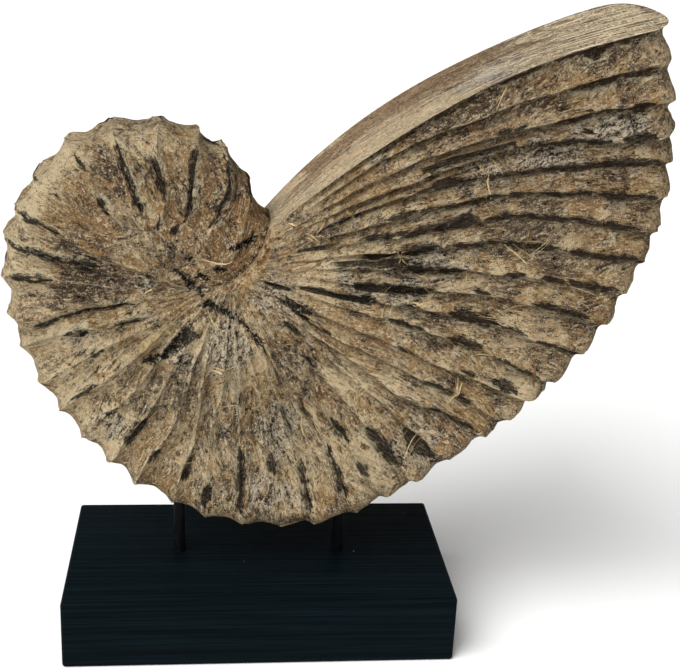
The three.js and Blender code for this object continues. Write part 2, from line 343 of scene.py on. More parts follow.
def shell_grid():
    """The fluted surface: columns for the steps round the rim, and rows from the front's root over the rim
    to the back's root. Gives the points and the facts that the finish needs."""
    steps = np.array(FLUTE_STEPS)
    ribs = np.append((np.arange(RIB_COUNT)[:, None] + steps).ravel(), RIB_COUNT)[:, None]
    place = np.append(np.tile(steps, RIB_COUNT), 0)[:, None]
    rows_front = FACE_ROWS + SHOULDER_ROWS
    turn = np.arange(2 * rows_front + 1)[None, :]
    row = rows_front - np.abs(turn - rows_front)
    side = np.sign(turn - rows_front)

    angle = np.pi / 2 * (1 - np.clip((row - FACE_ROWS) / SHOULDER_ROWS, 0, 1))
    face_share = np.minimum(row / FACE_ROWS, 1)
    wander_noise, depth_noise = Noise(1), Noise(2)
    track = np.stack(np.broadcast_arrays(ribs * 0.9, side * (2 - row / rows_front), 0 * row), -1)
    free = smooth(np.minimum(ribs, RIB_COUNT - ribs), (0, 1.5))
    wander = RIB_WANDER * free * wander_noise(track * (1, 4, 1))
    s = rim_share(ribs + wander)

    root = seam_point(SEAM_END * seam_share(s))
    crest = rim_point(s)
    length = np.linalg.norm(crest - root, axis=-1)
    shoulder = SHOULDER_AT_NOTCH + (SHOULDER_AT_LIP - SHOULDER_AT_NOTCH) * s
    shoulder_start = 1 - shoulder / length
    v = np.where(row <= FACE_ROWS, shoulder_start * face_share,
                 1 - shoulder * (1 - np.clip(np.cos(angle), 0, 1) ** SHOULDER_CURVE) / length)
    v = np.where(row == rows_front, 1, v)
    along = v * length

    skew = 1 + FLUTE_SKEW * smooth(s, SHINGLE_SPAN)
    hollow = np.sin(np.pi * place**skew) ** FLUTE_FULLNESS
    depth = FLUTE_DEPTH * hollow * smooth(along, FLUTE_FADE)
    depth = depth * (1 + FLUTE_UNEVENNESS * depth_noise(track * (0.6, 5, 1)))
    plan = bent_line(root, crest, rib_bend(s), v) - rim_outward(s) * (depth * np.cos(angle))[..., None]
    half = face_half(s, v) * np.clip(np.sin(angle), 0, 1) ** SHOULDER_CURVE - depth * np.sin(angle)
    points = np.stack([plan[..., 0], side * half, plan[..., 1]], -1)

    pitch = np.linalg.norm(np.gradient(plan, axis=0), axis=-1) / np.gradient(ribs[:, 0])[:, None]
    facing = np.sin(np.pi / 2 * np.clip((turn - rows_front) / SHOULDER_ROWS, -1, 1))
    facts = {
        "rib": ribs, "pitch": pitch, "along": along, "edge": length - along, "hollow": hollow, "side": facing,
    }
    return points, {key: np.broadcast_to(values, s.shape) for key, values in facts.items()}


def outward_normals(points):
    across, along = np.gradient(points, axis=0), np.gradient(points, axis=1)
    normal = np.cross(across, along)
    normal = normal / np.maximum(np.linalg.norm(normal, axis=-1, keepdims=True), 1e-9)
    return normal * np.sign(np.sum(normal * (points - SHELL_MIDDLE), axis=-1).mean())


def mark_gap(points, start, end, start_half, end_half):
    """The distance of points from a straight mark seen from the front: less than 0 on the mark."""
    start, end = np.array(start, float), np.array(end, float)
    length = np.linalg.norm(end - start)
    ahead = (end - start) / length
    away = points[..., ::2] - (start + end) / 2
    x = away @ ahead
    z = away[..., 0] * ahead[1] - away[..., 1] * ahead[0]
    half = x * (end_half - start_half) / length + (start_half + end_half) / 2
    return np.maximum(np.abs(x) - length / 2, np.abs(z) - half)


def cuts(points, facts):
    """Depth of the cracks that the strokes run in and of the marks across the ribs, less the ledge."""
    across = (facts["rib"] - np.round(facts["rib"])) * facts["pitch"]
    ragged = RAGGED_REACH * Noise(8)(points / RAGGED_SIZE)
    depth = STROKE_CUT * smooth(facts["ink"] + ragged - np.abs(across - facts["shift"]), (-0.8, 1.2))
    front = facts["side"] < -0.9
    for mark in CRACKS:
        depth = np.maximum(depth, CRACK_CUT * front * smooth(ragged - mark_gap(points, *mark), (-0.8, 0.8)))
    return depth - LEDGE_RISE * front * smooth(ragged - mark_gap(points, *LEDGE), (-1, 0.5))


def carve(points, facts):
    """Moves the surface in and out by the marks of the carving and of age."""
    rib, along, hollow = facts["rib"], facts["along"], facts["hollow"]
    track = np.stack([along / GROOVE_LENGTH, rib * 5, facts["side"] * 3], -1)
    lumps = LUMP_HEIGHT * Noise(3).layers(points / LUMP_SIZE)
    grooves = GROOVE_DEPTH * Noise(4).layers(track)
    pits = 0.5 * Noise(5).layers(points / PIT_SIZE, 2)
    chips = Noise(6).layers(points / CHIP_SIZE, 2)
    crest = 1 - smooth(hollow, (0, 0.55))
    marks = lumps + grooves - PIT_DEPTH * np.clip(pits - 0.25, 0, 1)
    marks = marks - CHIP_DEPTH * crest * np.clip(chips - 0.15, 0, 1) - cuts(points, facts)
    calm = smooth(along, (1, 8)) * smooth(RIB_COUNT - rib, (0, 0.6)) * smooth(rib, (0, 0.6))
    bead = SEAM_BEAD * (1 - smooth(along, (3, 11))) * smooth(along, (0, 2.5))
    bead = bead * smooth(rib, (12, 22)) * smooth(RIB_COUNT - rib, (0, 2))
    return points + outward_normals(points) * (marks * calm + bead)[..., None]


def back_marks(marks, shuffle, rib_at):
    """The same marks for the back, which isn't in the photograph, at other places."""
    moved = [list(mark) for mark in marks]
    for mark in moved:
        mark[rib_at] = (mark[rib_at] + shuffle.integers(*BACK_SHIFT)) % RIB_COUNT
        mark[rib_at + 1] *= shuffle.uniform(*BACK_STRETCH)
    return moved


def add_strokes(facts):
    """Gives each point the half width and the shift of the black stroke on its nearest crest."""
    ribs, along = facts["rib"], facts["along"]
    ink, shift = np.full(ribs.shape, NO_INK), np.zeros(ribs.shape)
    front = facts["side"] <= 0
    front_strokes = [(crest, *stroke) for crest, *row in STROKES for stroke in row]
    back_strokes = back_marks(front_strokes, np.random.default_rng(11), 0)
    for is_side, strokes in ((front, front_strokes), (~front, back_strokes)):
        for crest, start, end, half, beside in strokes:
            end = max(end, start + STROKE_SHORTEST)
            nose = np.clip(np.minimum(along - start, end - along) / STROKE_POINT, 0, 1)
            half_here = np.minimum(half, 0.5 * facts["pitch"])
            width = NO_INK + (half_here - NO_INK) * np.sqrt(nose)
            here = is_side & (np.abs(ribs - crest - 0.1 * np.sign(beside)) <= 0.5) & (width > ink)
            ink = np.where(here, width, ink)
            shift = np.where(here, beside, shift)
    facts["ink"], facts["shift"] = ink, shift


def add_stains(facts):
    """Gives each point its share of each kind of stain. Front and back blend over the rim."""
    back_share = facts["side"] / 2 + 0.5
    front_stains = [(kind, *stain) for kind, *row in STAINS for stain in row]
    back_stains = back_marks(front_stains, np.random.default_rng(12), 1)
    for kind in STAIN_KINDS:
        facts[kind] = np.zeros(facts["rib"].shape)
    for side_share, stains in ((1 - back_share, front_stains), (back_share, back_stains)):
        for kind, rib, along, reach_ribs, reach_along, strength in stains:
            away = ((facts["rib"] - rib) / reach_ribs) ** 2 + ((facts["along"] - along) / reach_along) ** 2
            facts[kind] = np.maximum(facts[kind], strength * side_share * np.exp(-away))


def twisted(points):
    points = points.copy()
    points[..., 2] += LIP_TWIST * points[..., 1] * smooth(points[..., 0], TWIST_SPAN)
    return points


def stitch(line_a, places_a, line_b, places_b):
    """Triangles between two lines of vertex numbers that run the same way."""
    faces = []
    a = b = 0
    while a < len(line_a) - 1 or b < len(line_b) - 1:
        if b == len(line_b) - 1 or (a < len(line_a) - 1 and places_a[a + 1] <= places_b[b + 1]):
            faces.append((line_a[a], line_a[a + 1], line_b[b]))
            a += 1
        else:
            faces.append((line_a[a], line_b[b + 1], line_b[b]))
            b += 1
    return np.array(faces).tolist()


def quads(index):
    """The faces between neighbouring rows and columns of a grid of vertex numbers."""
    corners = (index[:-1, :-1], index[:-1, 1:], index[1:, 1:], index[1:, :-1])
    return np.stack([corner.ravel() for corner in corners], -1).tolist()


def lip_grid(front_edge, back_edge):
    """The flat lip between its front and back edges, with more steps near the edges."""
    shares = np.array([*LIP_STEPS, *(1 - step for step in LIP_STEPS[-2::-1])])[:, None, None]
    return front_edge[None] * (1 - shares) + back_edge[None] * shares


def seam_faces(index, lip_index, columns_s):
    """The faces along the seam, between the outer whorl's roots and the inner whorl's edge."""
    last = index.shape[1] - 1
    middle = last // 2
    lip_end = lip_index[1:-1, 0]
    outer = [*index[:, 0], *lip_end, *index[::-1, last]]
    root_places = seam_share(columns_s)
    outer_places = [*root_places, *np.ones(len(lip_end)), *(2 - root_places[::-1])]
    edge_places = np.minimum(1, np.arange(middle + 1) / FACE_ROWS * EDGE_SHARE)
    inner_places = [*edge_places, *(2 - edge_places[-2::-1])]
    return stitch(outer, outer_places, index[0], inner_places)


def add_object(name, data):
    thing = bpy.data.objects.new(name, data)
    bpy.context.scene.collection.objects.link(thing)
    return thing


def make_piece(name, points, faces, *materials):
    """A mesh object from points in millimetres."""
    mesh = bpy.data.meshes.new(name)
    mesh.from_pydata((np.asarray(points) * MM).tolist(), [], faces)
    for material in materials:
        mesh.materials.append(material)
    return add_object(name, mesh)


def shade(piece, sharp):
    piece.data.shade_smooth()
    piece.data.set_sharp_from_angle(angle=math.radians(sharp))


def join_and_shade(piece, sharp):
    """Joins what lies in one place, turns the faces outward and shades the piece."""
    work = bmesh.new()
    work.from_mesh(piece.data)
    bmesh.ops.remove_doubles(work, verts=work.verts, dist=JOIN_DISTANCE)
    bmesh.ops.dissolve_degenerate(work, edges=work.edges, dist=FLAT_DISTANCE)
    bmesh.ops.recalc_face_normals(work, faces=work.faces)
    work.to_mesh(piece.data)
    work.free()
    shade(piece, sharp)


def facts_on_lip(facts, lip):
    """The facts of the lip's points, where those that aren't given here are 0."""
    y = lip[..., 1]
    half = np.abs(y[0]) + 0 * y
    along = facts["along"][-1, : lip.shape[1]]
    given = {"rib": RIB_COUNT, "along": along, "edge": half - np.abs(y), "side": np.sign(y)}
    return {key: given.get(key, 0) + 0 * half for key in facts}


def build_shell(side_material, lip_material):
    points, facts = shell_grid()
    add_strokes(facts)
    add_stains(facts)
    points = twisted(carve(points, facts))
    columns, rows = points.shape[:2]
    index = np.arange(columns * rows).reshape(columns, rows)
    middle = rows // 2
    lip = lip_grid(points[-1, : middle + 1], points[-1, : middle - 1 : -1])
    lip_index = np.arange(lip.shape[0] * lip.shape[1]).reshape(lip.shape[:2]) + index.size
    columns_s = rim_share(facts["rib"][:, 0])
    side_faces = quads(index) + seam_faces(index, lip_index, columns_s)
    lip_faces = quads(lip_index)
    all_points = np.concatenate([points.reshape(-1, 3), lip.reshape(-1, 3)])
    shell = make_piece("carved_shell", all_points, side_faces + lip_faces, side_material, lip_material)
    lip_facts = facts_on_lip(facts, lip)
    for key, values in facts.items():
        attribute = shell.data.attributes.new(key, "FLOAT", "POINT")
        attribute.data.foreach_set("value", np.concatenate([values.ravel(), lip_facts[key].ravel()]))
    shell.data.polygons.foreach_set("material_index", [0] * len(side_faces) + [1] * len(lip_faces))
    join_and_shade(shell, SHELL_SHARP)
    return shell, [Surface(points, facts, is_back) for is_back in (False, True)]


class Surface:
    """One side of the shell, to find places on."""

    def __init__(self, points, facts, is_back):
        middle = points.shape[1] // 2
        rows = slice(None, middle - 1, -1) if is_back else slice(0, middle + 1)
        self.ribs = facts["rib"][:, 0]
        self.along = facts["along"][:, rows]
        self.grids = [grid[:, rows] for grid in (points, outward_normals(points), facts["pitch"])]

    def at(self, rib, along):
        """Place, outward direction and millimetres to the next rib, or None outside the surface."""
        if not 0.2 < rib < RIB_COUNT - 0.2:
            return None
        place = np.interp(rib, self.ribs, np.arange(len(self.ribs)))
        column = min(int(place), len(self.ribs) - 2)
        part = place - column
        found = []
        for near in (column, column + 1):
            if not 0 < along < self.along[near, -1]:
                return None
            row_place = np.interp(along, self.along[near], np.arange(self.along.shape[1]))
            row = min(int(row_place), self.along.shape[1] - 2)
            share = row_place - row
            found.append([grid[near, row] * (1 - share) + grid[near, row + 1] * share for grid in self.grids])
        return [first * (1 - part) + second * part for first, second in zip(*found)]


def fibre_path(surface, rib, along, heading, turn, steps):
    """The spots under one loose fibre, or none if it runs off the edge."""
    path = []
    for _ in range(steps):
        spot = surface.at(rib, along)
        if spot is None:
            return []
        path.append(spot)
        along += FIBRE_STEP * math.cos(heading)
        rib += FIBRE_STEP * math.sin(heading) / max(spot[2], 1.5)
        heading += turn
    return path


def bundle_paths(surface, chance):
    """A few loose fibres that lie side by side in nearly one direction."""
    rib, along = chance.uniform(1, RIB_COUNT - 1), chance.uniform(*FIBRE_ALONG)
    if chance.uniform() < FIBRE_GATHERED:
        rib, along = chance.normal(*GATHERED_RIBS), chance.normal(*GATHERED_ALONG)
    heading, turn = chance.uniform(0, 2 * math.pi), chance.normal(0, 0.07)
    paths = []
    for _ in range(chance.integers(1, 5)):
        start = [value + chance.normal(0, spread)
                 for value, spread in zip((rib, along, heading, turn), FIBRE_SPREAD)]
        steps = chance.integers(FIBRE_LEAST_STEPS, 2 * FIBRE_LEAST_STEPS + 1)
        paths.append(fibre_path(surface, *start, steps))
    return [path for path in paths if len(path) >= FIBRE_LEAST_STEPS]


def sliver_points(path, half):
    """Three points round each place of a fibre's path: its two edges and its raised middle."""
    points = []
    for step, (place, normal, _) in enumerate(path):
        ahead = path[min(step + 1, len(path) - 1)][0] - path[max(step - 1, 0)][0]
        beside = np.cross(normal, ahead)
        beside = beside / max(np.linalg.norm(beside), 1e-9)
        width = half * (0.12 + math.sin(math.pi * (step + 0.25) / (len(path) - 0.5)))
        for sideways, lift in ((-1, -0.25), (0, 0.16 + 0.5 * half), (1, -0.25)):
            points.append(place + beside * sideways * width + normal * lift * (0.5 + width / half / 2))
    return points


def sliver_faces(first, last):
    """The sides and ends of a sliver whose first and last three points start at these numbers."""
    faces = []
    for ring in range(first, last, 3):
        for corner in range(3):
            after = (corner + 1) % 3
            faces.append((ring + corner, ring + after, ring + 3 + after, ring + 3 + corner))
    return [*faces, (first, first + 2, first + 1), (last, last + 1, last + 2)]


def build_fibres(surfaces, material):
    """Loose fibres: thin slivers that taper to both ends and lie just proud of the shell."""
    chance = np.random.default_rng(21)
    points, faces, shades = [], [], []
    paths = [path for bundle in range(FIBRE_BUNDLES) for path in bundle_paths(surfaces[bundle % 2], chance)]
    for path in paths:
        half = chance.uniform(*FIBRE_HALF_WIDTH) * chance.choice((1, 1, 2))
        shade = chance.uniform(0, 1)
        faces += sliver_faces(len(points), len(points) + 3 * (len(path) - 1))
        points += sliver_points(path, half)
        shades += [shade] * 3 * len(path)
    fibres = make_piece("bark_fibres", points, faces, material)
    shade_attribute = fibres.data.attributes.new("shade", "FLOAT", "POINT")
    shade_attribute.data.foreach_set("value", shades)
    join_and_shade(fibres, FIBRE_SHARP)
    return fibres


def build_block(material):
    """The stand's block with softly rounded edges; the holes for the rods are drilled into it afterwards."""
    size, centre = BLOCK_HIGH - BLOCK_LOW, (BLOCK_HIGH + BLOCK_LOW) / 2
    work = bmesh.new()
    place = Matrix.Translation(centre * MM) @ Matrix.Diagonal((*size * MM, 1))
    bmesh.ops.create_cube(work, size=1, matrix=place)
    bmesh.ops.bevel(work, geom=work.edges[:], offset=BLOCK_EDGE_RADIUS * MM, segments=BLOCK_EDGE_STEPS,
                    profile=0.5, affect="EDGES")
    block = make_piece("painted_block", [], [], material)
    work.to_mesh(block.data)
    work.free()
    return block


def rod_shape(name, wider, longer, chamfer):
    """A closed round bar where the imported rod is, wider and longer by these mm, with chamfered ends."""
    low, high = (np.array(corner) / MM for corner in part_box(name))
    centre = (low + high) / 2
    radius = (high[0] - low[0]) / 2 + wider
    bottom, top = low[2] - longer, high[2] + longer
    inner = radius - chamfer
    rings = ((bottom, inner), (bottom + chamfer, radius), (top - chamfer, radius), (top, inner))
    turns = [2 * math.pi * step / ROD_SIDES for step in range(ROD_SIDES)]
    points = [(centre[0] + ring * math.cos(turn), centre[1] + ring * math.sin(turn), height)
              for height, ring in rings for turn in turns]
    index = np.arange(len(points)).reshape(len(rings), ROD_SIDES)
    looped = np.concatenate([index, index[:, :1]], axis=1)
    ends = [index[0, ::-1].tolist(), index[-1].tolist()]
    return make_piece(name + "_bar", points, quads(looped) + ends)


def build_rod(name, material):
    rod = rod_shape(name, 0, 0, ROD_CHAMFER)
    rod.data.materials.append(material)
    shade(rod, ROD_SHARP)
    return rod


def drill(piece, name):
    """Cuts the hole that a rod sits in, a little wider and deeper than the rod."""
    drill_bit = rod_shape(name, HOLE_GAP, HOLE_GAP, HOLE_CHAMFER)
    cut = piece.modifiers.new("hole", "BOOLEAN")
    cut.object = drill_bit
    cut.operation = "DIFFERENCE"
    cut.solver = "EXACT"
    with bpy.context.temp_override(object=piece, active_object=piece, selected_objects=[piece]):
        bpy.ops.object.modifier_apply(modifier="hole")
    bpy.data.objects.remove(drill_bit)


# Materials

class Field:
    """A value or colour in a material, which can be added and multiplied like a number."""

    def __init__(self, shader, socket):
        self.shader, self.socket = shader, socket

    def __add__(self, other):
        return self.shader.math("ADD", self, other)

    def __sub__(self, other):
        return self.shader.math("SUBTRACT", self, other)

    def __rsub__(self, other):
        return self.shader.math("SUBTRACT", other, self)

    def __mul__(self, other):
        return self.shader.math("MULTIPLY", self, other)

    def above(self, low, high):
        """0 below low, 1 above high, and smooth between them."""
        return self.shader.node("MapRange", {0: self, 1: low, 2: high}, interpolation_type="SMOOTHSTEP")

    def below(self, low, high):
        return 1 - self.above(low, high)

    def magnitude(self):
        return self.shader.math("ABSOLUTE", self)

    __radd__ = __add__
    __rmul__ = __mul__


class Shader:
    """Builds a node material on one tone, coat by coat. An input is a number, a colour or a field."""

    def __init__(self, name, tone):
        self.tone = tone
        self.material = bpy.data.materials.new(name)
        self.material.use_nodes = True
        self.tree = self.material.node_tree
        self.surface = self.tree.nodes["Principled BSDF"]

    def put(self, socket, value):
        if isinstance(value, Field):
            self.tree.links.new(value.socket, socket)
        else:
            socket.default_value = value

    def node(self, kind, inputs, output=0, **settings):
        """Adds a node with these inputs and settings, and gives one of its outputs."""
        node = self.tree.nodes.new("ShaderNode" + kind)
        for key, value in settings.items():
            setattr(node, key, value)
        for key, value in inputs.items():
            self.put(node.inputs[key], value)
        return Field(self, node.outputs[output])

    def math(self, operation, first, second=0.0):
        return self.node("Math", {0: first, 1: second}, operation=operation)

    def fact(self, name):
        return self.node("Attribute", {}, "Fac", attribute_name=name)

    def place(self):
        """The place on the piece, in millimetres."""
        here = self.node("TexCoord", {}, "Object")
        return self.on_vector("SCALE", here, "Scale", 1 / MM)

    def on_vector(self, operation, vector, key, value):
        return self.node("VectorMath", {0: vector, key: value}, operation=operation)

    def stretch(self, vector, x, y, z):
        return self.on_vector("MULTIPLY", vector, 1, (x, y, z))

    def vector(self, x, y, z=0.0):
        return self.node("CombineXYZ", {0: x, 1: y, 2: z})

    def turned(self, vector, angle):
        """The place turned about the axis from front to back."""
        return self.node("VectorRotate", {"Vector": vector, "Angle": angle, "Axis": (0, 1, 0)})

    def noise(self, vector, size=1.0, detail=3.0, rough=0.5, twist=0.0, output=0):
        inputs = {"Vector": vector, "Scale": 1 / size, "Detail": detail, "Roughness": rough}
        return self.node("TexNoise", {**inputs, "Distortion": twist}, output)

    def cells(self, vector, size, output="Distance"):
        return self.node("TexVoronoi", {"Vector": vector, "Scale": 1 / size}, output)

    def parts(self, vector):
        """The three parts of a vector or colour."""
        node = self.tree.nodes.new("ShaderNodeSeparateXYZ")
        self.put(node.inputs[0], vector)
        return [Field(self, output) for output in node.outputs]

    def shaken(self, vector, size, amount):
        """The place moved at random by about the amount, in steps of the given size."""
        random = self.noise(vector, size, 4, 0.7, output="Color")
        moved = self.on_vector("SUBTRACT", random, 1, (0.5, 0.5, 0.5))
        return self.on_vector("ADD", vector, 1, self.on_vector("SCALE", moved, "Scale", amount * 2))

    def near_line(self, place, start, end, start_half, end_half):
        """The same distance as mark_gap gives."""
        length = math.dist(start, end)
        turn = math.atan2(end[1] - start[1], end[0] - start[0])
        middle = ((start[0] + end[0]) / 2, 0, (start[1] + end[1]) / 2)
        x, _, z = self.parts(self.turned(self.on_vector("SUBTRACT", place, 1, middle), turn))
        half = x * ((end_half - start_half) / length) + (start_half + end_half) / 2
        return self.math("MAXIMUM", x.magnitude() - length / 2, z.magnitude() - half)

    def mix(self, first, second, share):
        inputs = {0: share, 6: first, 7: second}
        return self.node("Mix", inputs, 2, data_type="RGBA", clamp_factor=True)

    def bump(self, height, distance, strength=1.0):
        return self.node("Bump", {"Height": height, "Distance": distance, "Strength": strength})

    def coat(self, tone, where):
        """Lays another tone over the one so far, by a share from 0 to 1."""
        self.tone = self.mix(self.tone, tone, where)

    def finish(self, roughness, normal, specular):
        self.put(self.surface.inputs["Base Color"], self.tone)
        self.put(self.surface.inputs["Roughness"], roughness)
        self.put(self.surface.inputs["Normal"], normal)
        self.surface.inputs["Specular IOR Level"].default_value = specular
        return self.material


def color(screen):
    """A colour given as a screen colour in hex."""
    linear = [(part / 255 / 12.92) if part <= 10 else ((part / 255 + 0.055) / 1.055) ** 2.4
              for part in screen.to_bytes(3, "big")]
    return (*linear, 1.0)


CREAM = color(0xF8DEB1)
IVORY = color(0xFCEECA)
CHALK = color(0xECE2CC)
PARCHMENT = color(0xE4C99F)
# Painted highlight beside the black strokes
STROKE_HIGHLIGHT = color(0xF2E2BC)
LEDGE_WOOD = color(0xCEB280)
TAN = color(0xB39164)
OCHRE = color(0xBE9260)
UMBER = color(0x8A6544)
BROWN = color(0x60452C)
# Painted shade for the steep flank under each rib crest
FLANK_SHADE = color(0x463728)
VIOLET = color(0x483C38)
GREY = color(0xBEB6AA)
BLACK = color(0x111216)

LIP_BASE = color(0x8C7658)
LIP_LOW = color(0xA29275)
LIP_HIGH = color(0xECDAB7)
LIP_PALE = color(0xE6D8B8)
LIP_DARK = color(0x6A5842)
LIP_TIP = color(0x70604C)
STAIN_BROWN = color(0x70543A)
STAIN_DARK = color(0x42332C)
STAIN_PALE = color(0xC4A87C)
BRUISE = color(0xA8A8A6)
SPLIT = color(0x342B24)
BLOT = color(0x5C4E40)

FIBRE_PALE = color(0xCEB88A)
FIBRE_BROWN = color(0x785C3C)
PAINT_DARK = color(0x050B0E)
PAINT_LIGHT = color(0x0C171C)
FLECK = color(0xBEBEB4)
METAL_DARK = color(0x07080A)
METAL_LIGHT = color(0x141518)
FLOOR_TONE = color(0xF4F4F3)


# The bark, where b is its shader and also holds the patterns that its coats share

def bark_patterns(b):
    """Facts of the shape, and noise from coarse to fine."""
    b.here = here = b.place()
    for name in ("rib", "along", "pitch", "side", "ink", "shift", "hollow", *STAIN_KINDS):
        setattr(b, name, b.fact(name))
    b.across = (b.rib - b.math("ROUND", b.rib)) * b.pitch
    b.track = b.vector(b.along, b.rib * 14, b.side * 6)
    b.cloud = b.noise(here, 24, 4, 0.6, 1.0)
    b.zone = b.noise(b.stretch(here, 1, 0.5, 1), 19, 3, 0.6, 0.6)
    b.patch = b.noise(here, 7, 6, 0.72, 0.8)
    b.thread = b.noise(b.stretch(b.track, 0.22, 1.1, 1), 1, 4, 0.85)
    b.grit = b.noise(here, 0.75, 2, 0.9)
    b.crumbs = b.noise(here, 1.7, 4, 0.9, 0.5) * 0.6 + b.grit * 0.4


def add_strips(b):
    """Torn strips of bark: each has its own direction, roughly along the ribs, and its own tone."""
    strips = b.stretch(b.shaken(b.here, 6, 7), 1, 0.6, 1)
    middle_x, _, middle_z = b.parts(b.cells(strips, STRIP_SIZE, "Position"))
    b.luck, b.luck_two, b.luck_three = b.parts(b.cells(strips, STRIP_SIZE, "Color"))
    fan = b.math("ARCTAN2", middle_z - FAN_CENTRE[1], middle_x - FAN_CENTRE[0])
    lay = fan + (b.luck - 0.5) * 0.8
    turned = b.turned(b.here, lay)
    crossed = b.turned(b.here, lay + b.luck_two * 3)
    b.strand = b.noise(b.stretch(turned, 0.1, 0.85, 0.85), 1, 5, 0.85, 0.4)
    b.streak = b.noise(b.stretch(turned, 0.1, 0.3, 0.3), 1, 6, 0.75, 0.4)
    b.chip = b.noise(b.stretch(turned, 0.2, 0.5, 0.5), 1, 5, 0.8, 0.3)
    b.fibre = b.noise(b.stretch(crossed, 0.16, 1.5, 1.5), 1, 3, 0.85, 0.5)
    fibrous = (b.along + (b.patch - 0.5) * 60).above(20, 95) * 0.65
    grained = (b.crumbs * 0.5 + b.strand * 0.5 - 0.5) * 1.4 + 0.5
    b.mottle = b.crumbs + (grained - b.crumbs) * fibrous


def paint_strips(b):
    """Cream, ochre and brown pieces of bark, with the crests paler than the flute hollows, partly wear and
    partly painted highlight, and fibres that cross them.
    """
    pieces = b.patch * 0.4 + b.cloud * 0.2 + b.streak * 0.15 + b.mottle * 0.25
    # Less cream in the flute hollows: partly wear on the crests, partly a painted highlight along them
    b.coat(CREAM, (pieces + b.pale * 0.07 + b.luck * 0.08 - b.hollow * 0.02).above(0.505, 0.57))
    ochre = b.cloud * 0.5 + b.mottle * 0.3 + b.luck_three * 0.16 + b.warm * 0.17
    b.coat(OCHRE, ochre.above(0.54, 0.62) * 0.8)
    umber = b.strand * 0.5 + b.patch * 0.5 + b.warm * 0.08 + b.luck_two * 0.04
    b.coat(UMBER, umber.above(0.55, 0.6) * 0.7)
    brown = b.patch * 0.3 + b.streak * 0.4 + b.mottle * 0.3 + b.warm * 0.035 + b.luck_two * 0.05
    b.coat(BROWN, brown.above(0.535, 0.59) * 0.75)
    strands = b.strand * 0.75 + b.patch * 0.25
    b.coat(CREAM, strands.above(0.54, 0.59) * 0.65)
    b.coat(BROWN, strands.below(0.41, 0.45) * 0.7)
    b.coat(CREAM, b.fibre.above(0.59, 0.63) * b.luck_three.above(0.35, 0.5) * 0.75)
    b.coat(VIOLET, b.fibre.below(0.35, 0.39) * b.luck.above(0.5, 0.6) * 0.7)


def paint_washes(b):
    """Thinned violet paint, a little heavier in the flute hollows as painted shade, specks, and pale sheets
    of bark over them.
    """
    b.wash = b.streak * 0.34 + b.patch * 0.16 + b.thread * 0.18 + b.mottle * 0.32 + b.violet * 0.075
    # The hollow term darkens the flute hollows: painted shade
    b.wash = b.wash + b.hollow * 0.018 + (b.zone - 0.5) * 0.22 - b.warm * 0.03 - b.pale * 0.04
    b.coat(VIOLET, (b.wash + b.luck_three * 0.03).above(0.52, 0.545) * 0.85)
    b.coat(CREAM, (b.mottle + b.pale * 0.02).above(0.55, 0.58) * 0.75)
    b.coat(VIOLET, (b.mottle - (b.zone - 0.5) * 0.12).below(0.405, 0.435) * 0.7)
    specks = b.mottle * 0.75 + b.strand * 0.25 - b.violet * 0.01 + b.warm * 0.015 - (b.zone - 0.5) * 0.06
    b.coat(BLACK, specks.below(0.395, 0.42) * 0.85)
    sheet = (b.patch * 0.7 + b.crumbs * 0.3 + b.luck_two * 0.05).above(0.555, 0.575)
    b.coat(PARCHMENT, sheet * (1 - b.warm * 0.5) * 0.55)


def paint_grains(b):
    """Grey, black and pale grains of worn paint, and flakes, dashes and dots."""
    salt = (b.pepper * 0.35 + b.noise(b.here, 15, 4, 0.6)).above(0.58, 0.76)
    b.coat(GREY, salt * b.mottle.above(0.48, 0.53) * 0.7)
    b.coat(BLACK, salt * (b.mottle * 0.6 + b.thread * 0.4).below(0.46, 0.485) * 0.9)
    grains = b.chip * 0.6 + b.mottle * 0.4
    b.coat(CHALK, salt * grains.above(0.52, 0.54) * 0.8)
    b.coat(BLACK, salt * grains.below(0.46, 0.475) * 0.9)
    flakes = b.chip * 0.7 + b.mottle * 0.3
    b.coat(CREAM, (flakes + b.pale * 0.015).above(0.56, 0.58) * 0.7)
    dashes = flakes - b.violet * 0.02 - (b.zone - 0.5) * 0.1 + b.pale * 0.02
    b.coat(BLACK, dashes.below(0.415, 0.43) * 0.9)
    dots = b.cells(b.stretch(b.here, 1, 1, 1.3), 5.5)
    b.coat(BLACK, (dots + b.grit * 0.25).below(0.2, 0.26) * b.patch.above(0.5, 0.56) * 0.8)


def paint_strokes(b):
    """The black strokes with frayed edges, a painted highlight along one side, and soot round them."""
    fray = (b.thread - 0.5) * 9 + (b.mottle - 0.5) * 7 + (b.patch - 0.5) * 5
    fray = fray * (b.ink * 0.35 + 0.6) + 0.3
    crest_track = b.vector(b.along * 0.1, b.math("ROUND", b.rib) * 3.1, b.side * 5)
    breaks = (b.noise(crest_track, 1, 4, 0.8) - 0.5) * 3
    drift = (b.noise(b.stretch(b.track, 0.12, 0.1, 1), 1, 2) - 0.5) * 4
    beside = b.across - b.shift + drift
    gap = b.ink + breaks + fray - beside.magnitude()
    # Painted highlight: a pale strip along one side of each stroke, standing for the light on the ridge
    # beside the groove
    lit_strip = gap.above(-2.6, -1.2) * beside.below(-0.2, 0.2) * (b.mottle + b.patch * 0.4).above(0.66, 0.7)
    b.coat(STROKE_HIGHLIGHT, lit_strip * 0.75)
    b.line = gap.above(-0.25, 0.15)
    b.coat(BLACK, b.line * 0.93)
    soot = (b.ink * 0.014 + b.wash - b.violet * 0.06 - b.across.magnitude() * 0.014).above(0.54, 0.56)
    b.coat(BLACK, soot * (b.ink + 1.5).above(0, 1.5) * 0.85)


